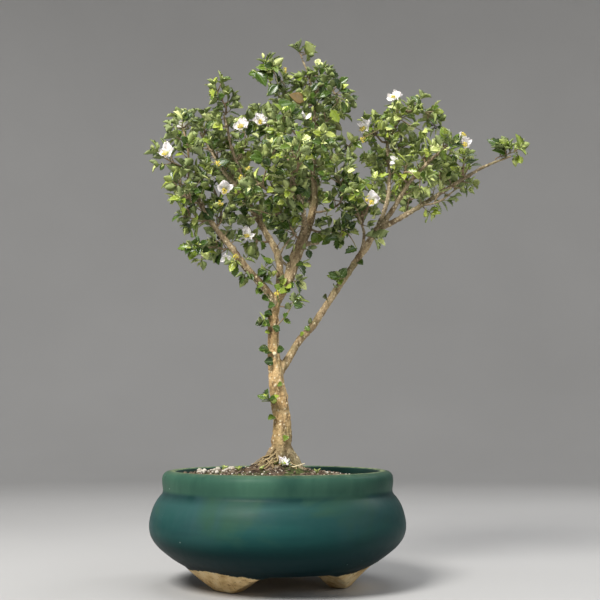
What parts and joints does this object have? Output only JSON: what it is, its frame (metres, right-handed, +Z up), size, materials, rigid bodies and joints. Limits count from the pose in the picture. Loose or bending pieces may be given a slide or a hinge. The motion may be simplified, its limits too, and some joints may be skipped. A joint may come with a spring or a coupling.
{
  "type": "bonsai",
  "caption": "Dwarf holly bonsai: a bare trunk with spreading leafy limbs and small pale flowers, rooted in soil in a round glazed pot on three arched feet.",
  "frame": {"origin": "ground under the middle of the object's box, on the plane of the pot's three feet", "axes": "+Z up along the pot's axis and the trunk, +X towards the long right-hand limb, -Y towards the front view"},
  "size_m": [0.3026, 0.1992, 0.4361],
  "materials": {
    "glaze": "gloss",
    "earth": "matte",
    "screen_plastic": "matte",
    "bark": "matte",
    "leaf": "satin",
    "petal": "matte"
  },
  "bodies": {
    "root": {"pot": "glaze", "soil": "earth", "drain_screen": "screen_plastic", "trunk": "bark", "spray_01": "leaf", "spray_02": "leaf", "spray_03": "leaf", "spray_04": "leaf", "spray_05": "leaf", "spray_06": "leaf", "spray_07": "leaf", "spray_08": "leaf", "spray_09": "leaf", "spray_10": "leaf", "spray_11": "leaf", "spray_12": "leaf", "spray_13": "leaf", "spray_14": "leaf", "spray_15": "leaf", "spray_16": "leaf", "spray_17": "leaf", "spray_18": "leaf", "spray_19": "leaf", "spray_20": "leaf", "spray_21": "leaf", "spray_22": "leaf", "spray_23": "leaf", "spray_24": "leaf", "spray_25": "leaf", "spray_26": "leaf", "spray_27": "leaf", "spray_28": "leaf", "spray_29": "leaf", "spray_30": "leaf", "spray_31": "leaf", "spray_32": "leaf", "spray_33": "leaf", "spray_34": "leaf", "spray_35": "leaf", "spray_36": "leaf", "spray_37": "leaf", "spray_38": "leaf", "spray_39": "leaf", "spray_40": "leaf", "spray_41": "leaf", "spray_42": "leaf", "spray_43": "leaf", "spray_44": "leaf", "spray_45": "leaf", "spray_46": "leaf", "flower_1": "petal", "flower_2": "petal", "flower_3": "petal", "flower_4": "petal", "flower_5": "petal", "flower_6": "petal", "flower_7": "petal", "flower_8": "petal", "flower_9": "petal", "fallen_flower": "petal"}
  },
  "joints": []
}
